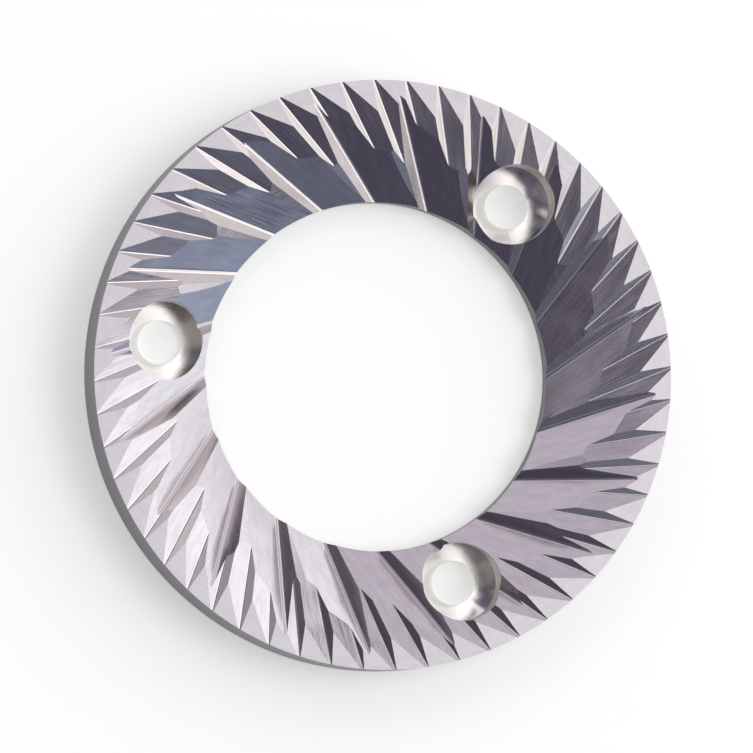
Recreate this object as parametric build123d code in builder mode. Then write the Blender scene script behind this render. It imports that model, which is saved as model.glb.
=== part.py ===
# Flat grinding burr of a coffee grinder: a steel ring with a dished, toothed face.
# It lies on its flat back, teeth up. The origin is the middle of the back. Millimetres.
import os
from math import cos, pi, radians, sin, sqrt, tan

from build123d import *

os.makedirs("parts", exist_ok=True)

# Ring
outer_diameter = 64.0
bore_diameter = 38.0
thickness = 6.0
back_chamfer = 0.5
bore_chamfer = 0.3

# Dished face: a flat rim, then a cone that falls to the bore
dish_diameter = 51.8
dish_depth = 3.45

# Every groove is straight and passes this far beside the axis, which makes the swirl
swirl_radius = 11.1

# Breaker teeth, the coarse inner ones
breaker_count = 20
breaker_turn = -53.7  # degrees, where the first groove stands nearest to the axis
breaker_back_slope = 30.5  # degrees, the long flank behind each crest
breaker_front_slope = 40.0  # degrees, the short cutting flank
breaker_tilt = 19.2  # degrees, how fast the groove floor rises outwards
breaker_depth = 4.55  # floor at the bore, below the rim face

# Grinding teeth, the fine outer ones
grinder_count = 56
grinder_turn = -67.5
grinder_back_slope = 18.2
grinder_front_slope = 32.0
grinder_tilt = 7.6
grinder_depth = 0.07  # floor at the rim, below the rim face

# Three countersunk screw holes
screw_count = 3
screw_turn = 51.7
screw_circle_diameter = 48.0
screw_hole_diameter = 4.8
screw_head_diameter = 8.6
screw_head_height = 2.4  # widest edge of the countersink, above the back
countersink_angle = 90.0

cutter_rise = 9.0  # the groove cutters reach this far above their own floor
cutter_overrun = 3.0  # and this far past the ring

outer_radius = outer_diameter / 2
bore_radius = bore_diameter / 2

# The back of a groove cutter is as wide as one tooth where its own grooves are deepest or widest
breaker_back_width = 2 * pi * bore_radius / breaker_count
grinder_back_width = 2 * pi * outer_radius / grinder_count


def along_groove(radius):
    """Distance along a groove from its point nearest to the axis out to a radius."""
    return sqrt(max(radius**2 - swirl_radius**2, 0))


def groove_planes(count, first_turn, tilt, start, floor_at_start):
    """Cutter planes around the axis: X to the cutting flank, Y up, Z outwards along the floor."""
    first = Plane(
        origin=(swirl_radius, start, floor_at_start),
        x_dir=(-1, 0, 0),
        z_dir=(0, cos(radians(tilt)), sin(radians(tilt))),
    )
    return [Plane(turn * first.location) for turn in PolarLocations(0, count, first_turn)]


def saw_profile(back_slope, front_slope, back_width):
    """Outline of one groove: long back flank to the left, short cutting flank to the right."""
    Polyline(
        (0, 0),
        (cutter_rise / tan(radians(front_slope)), cutter_rise),
        (-back_width, cutter_rise),
        (-back_width, back_width * tan(radians(back_slope))),
        close=True,
    )


# Breaker grooves start inside the bore, where even the far edge of the cutter is clear of the ring
breaker_start = along_groove(bore_radius) - breaker_back_width - cutter_overrun
breaker_run = along_groove(outer_radius) + cutter_overrun - breaker_start
breaker_floor = (
    thickness
    - breaker_depth
    - (along_groove(bore_radius) - breaker_start) * tan(radians(breaker_tilt))
)

# Grinding grooves start in the open above the breaker teeth and run out through the rim
grinder_start = along_groove(bore_radius)
grinder_run = along_groove(outer_radius) + cutter_overrun - grinder_start
grinder_floor = (
    thickness
    - grinder_depth
    - (along_groove(outer_radius) - grinder_start) * tan(radians(grinder_tilt))
)

with BuildPart() as burr:
    with BuildSketch(Plane.XZ):
        with BuildLine():
            Polyline(
                (bore_radius, 0),
                (outer_radius, 0),
                (outer_radius, thickness),
                (dish_diameter / 2, thickness),
                (bore_radius, thickness - dish_depth),
                close=True,
            )
        make_face()
    revolve(axis=Axis.Z)
    back_edges = burr.edges().group_by(Axis.Z)[0].sort_by(SortBy.RADIUS)
    chamfer(back_edges[0], bore_chamfer)
    chamfer(back_edges[-1], back_chamfer)

    breaker_planes = groove_planes(
        breaker_count, breaker_turn, breaker_tilt, breaker_start, breaker_floor
    )
    with BuildSketch(*breaker_planes):
        with BuildLine():
            saw_profile(breaker_back_slope, breaker_front_slope, breaker_back_width)
        make_face()
    extrude(amount=breaker_run / cos(radians(breaker_tilt)), mode=Mode.SUBTRACT)

    grinder_planes = groove_planes(
        grinder_count, grinder_turn, grinder_tilt, grinder_start, grinder_floor
    )
    with BuildSketch(*grinder_planes):
        with BuildLine():
            saw_profile(grinder_back_slope, grinder_front_slope, grinder_back_width)
        make_face()
    extrude(amount=grinder_run / cos(radians(grinder_tilt)), mode=Mode.SUBTRACT)

    with Locations(Plane.XY.offset(screw_head_height)):
        with PolarLocations(screw_circle_diameter / 2, screw_count, screw_turn):
            CounterSinkHole(
                radius=screw_hole_diameter / 2,
                counter_sink_radius=screw_head_diameter / 2,
                counter_sink_angle=countersink_angle,
            )

burr.part.label = "burr"
export_step(burr.part, "parts/burr.step")
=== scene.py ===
import bpy
import bmesh
from math import copysign, cos, hypot, pi, radians, sin, sqrt, tan
from mathutils import Matrix, Vector


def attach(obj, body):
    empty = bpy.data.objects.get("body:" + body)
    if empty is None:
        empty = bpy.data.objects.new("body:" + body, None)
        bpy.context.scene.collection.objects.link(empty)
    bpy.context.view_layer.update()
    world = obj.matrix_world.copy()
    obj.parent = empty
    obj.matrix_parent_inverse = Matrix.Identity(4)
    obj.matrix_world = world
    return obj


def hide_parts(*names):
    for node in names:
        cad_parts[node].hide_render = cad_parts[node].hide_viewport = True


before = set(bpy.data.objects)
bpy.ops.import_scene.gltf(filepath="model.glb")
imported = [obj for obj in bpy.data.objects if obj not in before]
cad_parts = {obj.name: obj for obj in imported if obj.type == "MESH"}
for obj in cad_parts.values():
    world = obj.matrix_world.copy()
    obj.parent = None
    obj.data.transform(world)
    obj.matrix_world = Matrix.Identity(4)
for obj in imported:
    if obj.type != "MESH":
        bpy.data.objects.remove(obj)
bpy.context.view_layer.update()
print("frame loaded")

toMetres = 0.001  # the burr is modelled in millimetres and shrunk once at the end


def activate(piece):  # only this piece selected, nothing else
    bpy.ops.object.select_all(action="DESELECT")
    piece.select_set(True)
    bpy.context.view_layer.objects.active = piece


def pickVerts(piece, wanted):  # edit mode, with the vertices that pass the test selected
    activate(piece)
    bpy.ops.object.mode_set(mode="EDIT")
    bpy.ops.mesh.select_mode(type="VERT")
    bpy.ops.mesh.select_all(action="DESELECT")
    work = bmesh.from_edit_mesh(piece.data)
    for vert in work.verts:
        vert.select = bool(wanted(vert.co))
    work.select_flush(True)
    bmesh.update_edit_mesh(piece.data)


def pickFaces(piece, wanted):  # edit mode, with the faces that pass the test selected
    activate(piece)
    bpy.ops.object.mode_set(mode="EDIT")
    bpy.ops.mesh.select_mode(type="FACE")
    bpy.ops.mesh.select_all(action="DESELECT")
    work = bmesh.from_edit_mesh(piece.data)
    for face in work.faces:
        face.select = bool(wanted(face))
    work.select_flush(True)
    bmesh.update_edit_mesh(piece.data)


def leaveEdit():
    bpy.ops.object.mode_set(mode="OBJECT")


def near(value, target, slack=0.01):
    return abs(value - target) < slack


def facesUp(face):
    return face.normal.z > 0.9


def facesDown(face):
    return face.normal.z < -0.9


ring = {
    "outerDiameter": 64.0,
    "boreDiameter": 38.0,
    "height": 6.0,
    "dishDiameter": 51.8,  # inside this circle the face falls to the bore
    "dishDepth": 3.45,
    "backChamfer": 0.5,
    "boreChamfer": 0.3,
    "swirlRadius": 11.1,  # every groove passes this far beside the axis
    "roundness": 320,  # sides of the circles
}

breakerTeeth = {  # the coarse inner ones
    "count": 20,
    "turn": -53.7,  # degrees, where the first groove stands nearest to the axis
    "backSlope": 30.5,
    "frontSlope": 40.0,
    "tilt": 19.2,  # how fast the groove floor rises outwards
    "floorDepth": 4.55,  # under the rim face, at the floor radius
    "floorRadius": 19.0,
    "backWidth": 6.0,
    "rootRadius": 0.28,
    "rootSteps": 8,
}

grinderTeeth = {  # the fine outer ones
    "count": 56,
    "turn": -67.5,
    "backSlope": 18.2,
    "frontSlope": 32.0,
    "tilt": 7.6,
    "floorDepth": 0.07,
    "floorRadius": 32.0,
    "backWidth": 3.6,
    "rootRadius": 0.13,
    "rootSteps": 6,
}

screwHoles = {
    "count": 3,
    "turn": 51.7,
    "circleDiameter": 48.0,
    "holeDiameter": 4.8,
    "headDiameter": 8.6,
    "headHeight": 2.4,  # widest edge of the seat, above the back
    "roundness": 96,
}

smoothing = {
    "angle": 10.5,  # degrees, edges that turn by more stay sharp
    "weight": 60,
}


def alongGroove(radius):
    return sqrt(radius ** 2 - ring["swirlRadius"] ** 2)


def makeMaterial(name):
    material = bpy.data.materials.new(name)
    material.use_nodes = True
    material.node_tree.nodes.clear()
    return material


def addNode(material, kind, **values):
    node = material.node_tree.nodes.new(kind)
    for key, value in values.items():
        if key in node.inputs:
            node.inputs[key].default_value = value
        else:
            setattr(node, key, value)
    return node


def wire(material, source, sourceSocket, target, targetSocket):
    material.node_tree.links.new(source.outputs[sourceSocket], target.inputs[targetSocket])


cutterMarks = {  # what the marks of all finishes have in common
    "noiseRoughness": 0.6,
    "lineDetail": 3.0,
    "waveDetail": 1.0,
    "blotchDetail": 4.0,
    "blotchStretch": (3, 9, 3),  # how much finer the blotches are than the waves
    "toneRange": (0.35, 0.62),  # the span of the noise that goes from dull to bright
    "roughRange": (0.3, 0.7),  # the span of the noise that goes from smooth to rough
    "copyShift": (13.7, 5.3),  # along and across, so that no two copies carry the same marks
}

flankFinish = {  # long back flanks of the teeth as milled, in millimetres
    "color": (0.58, 0.57, 0.585, 1.0),
    "dullColor": (0.50, 0.49, 0.512, 1.0),
    "roughness": (0.14, 0.27),
    "lineSpacing": 0.16,  # feed lines of the cutter
    "lineLength": 5.0,
    "lineDepth": 0.0035,
    "waveSpacing": 7.0,  # the faces aren't quite flat
    "waveDepth": 0.10,
    "streaks": 0.25,  # how much of the tone runs along the lines
}

cuttingHighlightFinish = {  # short cutting flanks of the breaker teeth, ground, and made paler and warmer than the other steel as a painted highlight
    "color": (0.725, 0.695, 0.66, 1.0),
    "dullColor": (0.66, 0.63, 0.605, 1.0),
    "roughness": (0.12, 0.22),
    "lineSpacing": 0.12,
    "lineLength": 6.0,
    "lineDepth": 0.0022,
    "waveSpacing": 8.0,
    "waveDepth": 0.06,
    "streaks": 0.3,
}

edgeFinish = {  # short flanks of the grinding teeth
    "color": (0.60, 0.58, 0.55, 1.0),
    "dullColor": (0.53, 0.51, 0.485, 1.0),
    "roughness": (0.14, 0.26),
    "lineSpacing": 0.12,
    "lineLength": 5.0,
    "lineDepth": 0.0025,
    "waveSpacing": 8.0,
    "waveDepth": 0.06,
    "streaks": 0.3,
}

seatHighlightFinish = {  # turned screw seats, made far paler than the other steel as a painted highlight
    "color": (0.95, 0.94, 0.915, 1.0),
    "dullColor": (0.91, 0.90, 0.88, 1.0),
    "roughness": (0.11, 0.17),
    "lineSpacing": 0.14,
    "lineLength": 9.0,
    "lineDepth": 0.003,
    "waveSpacing": 5.0,
    "waveDepth": 0.02,
    "streaks": 0.6,
}

pocketShadeFinish = {  # walls over the seats, made near black as painted shade
    "color": (0.22, 0.205, 0.195, 1.0),
    "dullColor": (0.16, 0.15, 0.145, 1.0),
    "roughness": (0.20, 0.30),
    "lineSpacing": 0.2,
    "lineLength": 9.0,
    "lineDepth": 0.003,
    "waveSpacing": 5.0,
    "waveDepth": 0.02,
    "streaks": 0.5,
}

groundFinish = {  # rim lands, cone and back, ground in rings round the axis
    "color": (0.58, 0.57, 0.58, 1.0),
    "dullColor": (0.51, 0.50, 0.515, 1.0),
    "roughness": (0.22, 0.36),
    "lineSpacing": 0.13,
    "lineLength": 7.0,
    "lineDepth": 0.0025,
    "waveSpacing": 9.0,
    "waveDepth": 0.04,
    "streaks": 0.5,
}

wallSkinAndShadeFinish = {  # outer wall and bore, left as turned and hardened, and darker still as painted shade for the shadowed floor they reflect
    "color": (0.215, 0.205, 0.228, 1.0),
    "dullColor": (0.165, 0.158, 0.177, 1.0),
    "roughness": (0.34, 0.48),
    "lineSpacing": 0.17,
    "lineLength": 12.0,
    "lineDepth": 0.004,
    "waveSpacing": 9.0,
    "waveDepth": 0.03,
    "streaks": 0.85,
}


def grainPlace(material):  # along and across the cutter marks, in millimetres
    place = addNode(material, "ShaderNodeUVMap", uv_map="grain")
    return place, "UV"


def ringPlace(material, across):  # across is LENGTH for rings on a face, or Z for rings on a wall
    place = addNode(material, "ShaderNodeTexCoord")
    sized = addNode(material, "ShaderNodeVectorMath", operation="SCALE")
    sized.inputs["Scale"].default_value = 1 / toMetres
    wire(material, place, "Object", sized, 0)
    parts = addNode(material, "ShaderNodeSeparateXYZ")
    wire(material, sized, 0, parts, 0)
    joined = addNode(material, "ShaderNodeCombineXYZ")
    if across == "LENGTH":
        flat = addNode(material, "ShaderNodeVectorMath", operation="MULTIPLY")
        flat.inputs[1].default_value = (1, 1, 0)
        wire(material, sized, 0, flat, 0)
        radius = addNode(material, "ShaderNodeVectorMath", operation="LENGTH")
        wire(material, flat, 0, radius, 0)
        wire(material, radius, "Value", joined, "Y")
    else:
        wire(material, parts, "Z", joined, "Y")
    wire(material, parts, "X", joined, "X")
    wire(material, parts, "Y", joined, "Z")
    return joined, "Vector"


def addNoise(material, place, stretch, detail):
    spread = addNode(material, "ShaderNodeMapping", Scale=stretch)
    noise = addNode(material, "ShaderNodeTexNoise", Scale=1.0, Detail=detail)
    noise.inputs["Roughness"].default_value = cutterMarks["noiseRoughness"]
    wire(material, place[0], place[1], spread, "Vector")
    wire(material, spread, 0, noise, "Vector")
    return noise


def addRange(material, source, target=(0.0, 1.0)):  # maps one span of values to another
    ends = {"From Min": source[0], "From Max": source[1], "To Min": target[0], "To Max": target[1]}
    return addNode(material, "ShaderNodeMapRange", **ends)


def addBump(material, height, depth, below=None):
    bump = addNode(material, "ShaderNodeBump", Strength=1.0, Distance=depth * toMetres)
    wire(material, height, 0, bump, "Height")
    if below:
        wire(material, below, 0, bump, "Normal")
    return bump


def makeSteel(name, finish, place):
    material = makeMaterial(name)
    where = place(material)
    along, across = 1 / finish["lineLength"], 1 / finish["lineSpacing"]
    lines = addNoise(material, where, (along, across, along), cutterMarks["lineDetail"])
    wave = 1 / finish["waveSpacing"]
    waves = addNoise(material, where, (wave, wave, wave), cutterMarks["waveDetail"])
    finer = [share * wave for share in cutterMarks["blotchStretch"]]
    blotches = addNoise(material, where, finer, cutterMarks["blotchDetail"])
    marks = addNode(material, "ShaderNodeMix", data_type="FLOAT")
    marks.inputs[0].default_value = finish["streaks"]
    wire(material, blotches, 0, marks, 2)
    wire(material, lines, 0, marks, 3)

    shader = addNode(material, "ShaderNodeBsdfPrincipled", Metallic=1.0)
    tone = addNode(material, "ShaderNodeMix", data_type="RGBA")
    tone.inputs[6].default_value = finish["dullColor"]
    tone.inputs[7].default_value = finish["color"]
    spreadTone = addRange(material, cutterMarks["toneRange"])
    wire(material, marks, 0, spreadTone, 0)
    wire(material, spreadTone, 0, tone, 0)
    wire(material, tone, 2, shader, "Base Color")

    dulling = addRange(material, cutterMarks["roughRange"], finish["roughness"])
    wire(material, lines, 0, dulling, 0)
    wire(material, dulling, 0, shader, "Roughness")

    bend = addBump(material, waves, finish["waveDepth"])
    grooves = addBump(material, lines, finish["lineDepth"], bend)
    wire(material, grooves, 0, shader, "Normal")
    output = addNode(material, "ShaderNodeOutputMaterial")
    wire(material, shader, 0, output, "Surface")
    return material


def facePlace(material):
    return ringPlace(material, "LENGTH")


def wallPlace(material):
    return ringPlace(material, "Z")


def layGrain(piece, place):  # writes the place of every corner along and across the cutter marks
    layer = piece.data.uv_layers.active
    layer.name = "grain"
    for loop in piece.data.loops:
        layer.data[loop.index].uv = place(piece.data.vertices[loop.vertex_index].co)


def shiftGrain(piece, step):
    along, across = cutterMarks["copyShift"]
    for corner in piece.data.uv_layers.active.data:
        corner.uv += Vector((step * along, step * across))


def makeRing(groundSteel, wallSkinAndShadeSteel):
    outer, bore, height = ring["outerDiameter"] / 2, ring["boreDiameter"] / 2, ring["height"]
    dish = ring["dishDiameter"] / 2
    bpy.ops.object.select_all(action="DESELECT")
    bpy.ops.mesh.primitive_cylinder_add(
        vertices=ring["roundness"], radius=outer, depth=height, location=(0, 0, height / 2)
    )
    piece = bpy.context.object
    piece.name = "burr_steel"
    bpy.ops.object.transform_apply(location=True, rotation=True, scale=True)
    piece.data.materials.append(groundSteel)
    piece.data.materials.append(wallSkinAndShadeSteel)
    layGrain(piece, lambda co: (co.x, co.y))
    pickFaces(piece, facesUp)
    bpy.ops.mesh.inset(thickness=outer - dish)
    bpy.ops.mesh.inset(thickness=dish - bore)
    bpy.ops.transform.translate(value=(0, 0, -ring["dishDepth"]))
    leaveEdit()
    pickFaces(piece, facesDown)
    bpy.ops.mesh.inset(thickness=outer - bore)
    leaveEdit()
    pickFaces(piece, lambda face: len(face.verts) == ring["roundness"])
    bpy.ops.mesh.bridge_edge_loops()
    leaveEdit()
    pickVerts(piece, lambda co: near(co.z, 0) and near(co.xy.length, outer))
    bpy.ops.mesh.bevel(offset=ring["backChamfer"], offset_type="WIDTH", segments=1, affect="EDGES")
    leaveEdit()
    pickVerts(piece, lambda co: near(co.z, 0) and near(co.xy.length, bore))
    bpy.ops.mesh.bevel(offset=ring["boreChamfer"], offset_type="WIDTH", segments=1, affect="EDGES")
    leaveEdit()
    levelEnough = 0.85  # a normal that points less up or down than this is a wall's or a chamfer's
    # walls, bore and chamfers take the dark wall steel, which is partly its hardened skin and
    # partly painted shade
    for face in piece.data.polygons:
        face.material_index = 1 if abs(face.normal.z) < levelEnough else 0
    return piece


def makeCutter(name, teeth, backSteel, cuttingHighlightSteel):
    rise = 9.0  # the cutter reaches this far over its own floor
    overrun = 3.0  # and at least this far past the ring at both ends
    outer = alongGroove(ring["outerDiameter"] / 2) + overrun
    start = alongGroove(ring["boreDiameter"] / 2) - teeth["backWidth"] - overrun
    tilt = radians(teeth["tilt"])
    front = radians(teeth["frontSlope"])
    back = radians(teeth["backSlope"])
    corners = {  # which corner of a cube goes where, seen along the groove
        (-1, -1): (0.0, 0.0),
        (-1, 1): (-rise / tan(front), rise),
        (1, 1): (teeth["backWidth"], rise),
        (1, -1): (teeth["backWidth"], teeth["backWidth"] * tan(back)),
    }
    bpy.ops.object.select_all(action="DESELECT")
    bpy.ops.mesh.primitive_cube_add(size=2)
    piece = bpy.context.object
    piece.name = name
    piece.data.materials.append(backSteel)
    piece.data.materials.append(cuttingHighlightSteel)
    # the front faces take the paler cutting steel, which carries a painted highlight
    for face in piece.data.polygons:
        face.material_index = 1 if face.normal.x < -0.5 else 0
    for vert in piece.data.vertices:
        side, high = round(vert.co.x), round(vert.co.z)
        x, z = corners[(side, high)]
        y = (vert.co.y + 1) / 2 * (outer - start) / cos(tilt)
        vert.co = (x, y, z)
    pickVerts(piece, lambda co: near(co.x, 0) and near(co.z, 0))
    bpy.ops.mesh.bevel(
        offset=teeth["rootRadius"],
        offset_type="OFFSET",
        segments=teeth["rootSteps"],
        affect="EDGES",
    )
    leaveEdit()
    layGrain(piece, lambda co: (co.y, copysign(hypot(co.x, co.z), co.x)))
    run = alongGroove(teeth["floorRadius"]) - start
    floorHeight = ring["height"] - teeth["floorDepth"] - run * tan(tilt)
    piece.rotation_euler = (tilt, 0, 0)
    piece.location = (ring["swirlRadius"], start, floorHeight)
    bpy.ops.object.transform_apply(location=True, rotation=True, scale=True)
    return piece


def cutAround(piece, cutter, count, turn):  # one boolean for each copy of the cutter
    for step in range(count):
        copy = cutter.copy()
        copy.data = cutter.data.copy()
        bpy.context.scene.collection.objects.link(copy)
        copy.rotation_euler = (0, 0, radians(turn + step * 360 / count))
        shiftGrain(copy, step)
        activate(piece)
        cut = piece.modifiers.new("cut", "BOOLEAN")
        cut.operation = "DIFFERENCE"
        cut.solver = "EXACT"
        cut.material_mode = "TRANSFER"
        cut.object = copy
        bpy.ops.object.modifier_apply(modifier=cut.name)
        bpy.data.objects.remove(copy)
    bpy.data.objects.remove(cutter)


def makeScrewCutter(seatHighlightSteel, pocketShadeSteel):
    hole, head = screwHoles["holeDiameter"] / 2, screwHoles["headDiameter"] / 2
    seat = head - hole  # a right-angled countersink is as tall as it is wide
    seatLow = screwHoles["headHeight"] - seat
    low = -1.0  # the cutter starts under the back
    pocketRise = 6.0  # and ends over the teeth
    bpy.ops.object.select_all(action="DESELECT")
    bpy.ops.mesh.primitive_cylinder_add(
        vertices=screwHoles["roundness"],
        radius=hole,
        depth=seatLow - low,
        location=(0, 0, (seatLow + low) / 2),
    )
    piece = bpy.context.object
    bpy.ops.object.transform_apply(location=True, rotation=True, scale=True)
    piece.data.materials.append(seatHighlightSteel)
    piece.data.materials.append(pocketShadeSteel)
    pickFaces(piece, facesUp)
    bpy.ops.mesh.extrude_region_move(TRANSFORM_OT_translate={"value": (0, 0, seat)})
    bpy.ops.transform.resize(value=(head / hole, head / hole, 1))
    bpy.ops.mesh.extrude_region_move(TRANSFORM_OT_translate={"value": (0, 0, pocketRise)})
    leaveEdit()
    # the seats take the pale steel with its painted highlight, the pocket walls above them the
    # near-black steel, which is painted shade
    for face in piece.data.polygons:
        face.material_index = 1 if face.center.z > screwHoles["headHeight"] else 0
    layGrain(piece, lambda co: (co.x, co.z + hypot(co.x, co.y)))
    piece.location = (screwHoles["circleDiameter"] / 2, 0, 0)
    bpy.ops.object.transform_apply(location=True, rotation=True, scale=True)
    return piece


def makeBurr():
    flank = makeSteel("flankSteel", flankFinish, grainPlace)
    cutting = makeSteel("cuttingHighlightSteel", cuttingHighlightFinish, grainPlace)
    edge = makeSteel("edgeSteel", edgeFinish, grainPlace)
    seat = makeSteel("seatHighlightSteel", seatHighlightFinish, grainPlace)
    pocket = makeSteel("pocketShadeSteel", pocketShadeFinish, grainPlace)
    ground = makeSteel("groundSteel", groundFinish, facePlace)
    wall = makeSteel("wallSkinAndShadeSteel", wallSkinAndShadeFinish, wallPlace)
    piece = makeRing(ground, wall)
    cutter = makeCutter("breakerCutter", breakerTeeth, flank, cutting)
    cutAround(piece, cutter, breakerTeeth["count"], breakerTeeth["turn"])
    print("breaker teeth cut")
    cutter = makeCutter("grinderCutter", grinderTeeth, flank, edge)
    cutAround(piece, cutter, grinderTeeth["count"], grinderTeeth["turn"])
    print("grinding teeth cut")
    cutAround(piece, makeScrewCutter(seat, pocket), screwHoles["count"], screwHoles["turn"])
    print("screw holes cut")
    activate(piece)
    piece.scale = (toMetres,) * 3
    bpy.ops.object.transform_apply(location=True, rotation=True, scale=True)
    bpy.ops.object.shade_smooth_by_angle(angle=radians(smoothing["angle"]))
    even = piece.modifiers.new("even", "WEIGHTED_NORMAL")
    even.mode = "FACE_AREA"
    even.weight = smoothing["weight"]
    even.keep_sharp = True
    bpy.ops.object.modifier_apply(modifier=even.name)
    return piece


burr = makeBurr()
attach(burr, "root")
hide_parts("burr")
print("burr made", len(burr.data.vertices), len(burr.data.polygons))

studio = {
    "floorColor": (0.95, 0.95, 0.955, 1.0),
    "floorLift": 0.40,  # added for the camera and for reflections, so that the paper is white
    "liftColor": (0.95, 1.0, 0.90, 1.0),
    "floorWidth": 6.0,
    "backdropHeight": 0.17,
    "backdropSides": 128,
    "backdropGap": 0.05,  # inside the floor's edge
    "backdropLift": 0.95,
    "worldColor": (0.10, 0.09, 0.13, 1.0),
}

tints = {
    "white": (1.0, 0.97, 0.97),
    "rose": (1.0, 0.91, 0.97),
    "warm": (1.0, 0.82, 0.62),
    "cool": (0.65, 0.77, 1.0),
}

# each box faces the burr: degrees round the axis and over the floor, distance, width and height
# in metres, brightness where 1 is white paper, and tint
softboxes = {
    "topBox": (20, 77, 1.5, 0.7, 1.4, 1.15, "white"),
    "nearBox": (195, 75, 1.4, 0.4, 0.2, 1.1, "white"),
    "rightBox": (13, 18, 1.6, 2.1, 1.0, 1.35, "white"),
    "upperRightBox": (355, 52, 2.0, 1.6, 1.1, 1.7, "white"),
    "backBox": (85, 30, 1.6, 2.8, 1.6, 0.75, "rose"),
    "leftBackBox": (145, 45, 1.6, 0.8, 0.8, 0.5, "rose"),
    "upperBlueBox": (285, 40, 1.3, 0.9, 0.7, 0.25, "cool"),
    "lowBlueBox": (300, 10, 2.0, 0.5, 0.5, 1.8, "cool"),
    "leftBox": (190, 6, 1.4, 1.9, 0.25, 1.4, "warm"),
    "frontBox": (325, 10, 1.5, 0.9, 0.5, 0.65, "cool"),
}


def makePaper(name, strength):  # pale paper, which looks white to the camera and in the steel
    material = makeMaterial(name)
    shader = addNode(material, "ShaderNodeBsdfDiffuse", Color=studio["floorColor"])
    lift = addNode(material, "ShaderNodeEmission", Color=studio["liftColor"])
    both = addNode(material, "ShaderNodeAddShader")
    output = addNode(material, "ShaderNodeOutputMaterial")
    wire(material, seenDirectly(material, strength), 0, lift, "Strength")
    wire(material, shader, 0, both, 0)
    wire(material, lift, 0, both, 1)
    wire(material, both, 0, output, "Surface")
    return material


def makeFloor():
    bpy.ops.object.select_all(action="DESELECT")
    bpy.ops.mesh.primitive_plane_add(size=studio["floorWidth"])
    floor = bpy.context.object
    floor.name = "floor"
    floor.data.materials.append(makePaper("floorPaper", studio["floorLift"]))


def makeBackdrop():  # a low ring of paper far round the burr, so that low views end in white too
    height = studio["backdropHeight"]
    bpy.ops.object.select_all(action="DESELECT")
    bpy.ops.mesh.primitive_cylinder_add(
        vertices=studio["backdropSides"],
        radius=studio["floorWidth"] / 2 - studio["backdropGap"],
        depth=height,
        end_fill_type="NOTHING",
        location=(0, 0, height / 2),
    )
    backdrop = bpy.context.object
    backdrop.name = "backdrop"
    backdrop.data.materials.append(makePaper("backdropPaper", studio["backdropLift"]))


# the strength for camera, mirror and glass rays, and nothing for the rest of the light
def seenDirectly(material, strength):
    path = addNode(material, "ShaderNodeLightPath")
    first = addNode(material, "ShaderNodeMath", operation="MAXIMUM")
    second = addNode(material, "ShaderNodeMath", operation="MAXIMUM")
    scaled = addNode(material, "ShaderNodeMath", operation="MULTIPLY")
    wire(material, path, "Is Camera Ray", first, 0)
    wire(material, path, "Is Glossy Ray", first, 1)
    wire(material, first, 0, second, 0)
    wire(material, path, "Is Transmission Ray", second, 1)
    wire(material, second, 0, scaled, 0)
    scaled.inputs[1].default_value = strength
    return scaled


def makeWorld():
    world = bpy.data.worlds.new("studioWorld")
    bpy.context.scene.world = world
    world.use_nodes = True
    world.node_tree.nodes.clear()
    dim = addNode(world, "ShaderNodeBackground", Color=studio["worldColor"])
    output = addNode(world, "ShaderNodeOutputWorld")
    wire(world, dim, 0, output, "Surface")


def addSoftbox(name, azimuth, elevation, distance, width, height, brightness, tint):
    lamp = bpy.data.lights.new(name, "AREA")
    lamp.shape = "RECTANGLE"
    lamp.size, lamp.size_y = width, height
    lamp.energy = brightness * pi * width * height  # so that 1 looks like white paper
    lamp.color = tints[tint]
    holder = bpy.data.objects.new(name, lamp)
    bpy.context.scene.collection.objects.link(holder)
    turn, rise = radians(azimuth), radians(elevation)
    holder.location = Vector((cos(turn) * cos(rise), sin(turn) * cos(rise), sin(rise))) * distance
    holder.rotation_euler = (pi / 2 - rise, 0, pi / 2 + turn)


def makeStudio():
    makeFloor()
    makeBackdrop()
    makeWorld()
    for name, box in softboxes.items():
        addSoftbox(name, *box)
    bpy.context.scene.view_settings.view_transform = "Standard"


camera = {
    "azimuth": 196.0,  # degrees round the axis from the photo's right
    "lean": 13.2,  # degrees off the axis
    "distance": 1.0,
    "lens": 440.0,
    "aim": (0.0, 0.0, 0.002),
    "clip": (0.01, 20.0),
}


def makeCamera():
    around, lean = radians(camera["azimuth"]), radians(camera["lean"])
    back = Vector((cos(around) * sin(lean), sin(around) * sin(lean), cos(lean)))
    right = Vector((0, 1, 0)).cross(back).normalized()  # keeps the photo's up as up
    up = back.cross(right)
    data = bpy.data.cameras.new("camera")
    holder = bpy.data.objects.new("camera", data)
    bpy.context.scene.collection.objects.link(holder)
    turn = Matrix((right, up, back)).transposed().to_4x4()
    place = Vector(camera["aim"]) + back * camera["distance"]
    holder.matrix_world = Matrix.Translation(place) @ turn
    data.lens = camera["lens"]
    data.clip_start, data.clip_end = camera["clip"]
    bpy.context.scene.camera = holder


makeStudio()
print("floor, backdrop and lamps set")
makeCamera()
print("camera set")
bpy.context.view_layer.update()
print("scene ready")
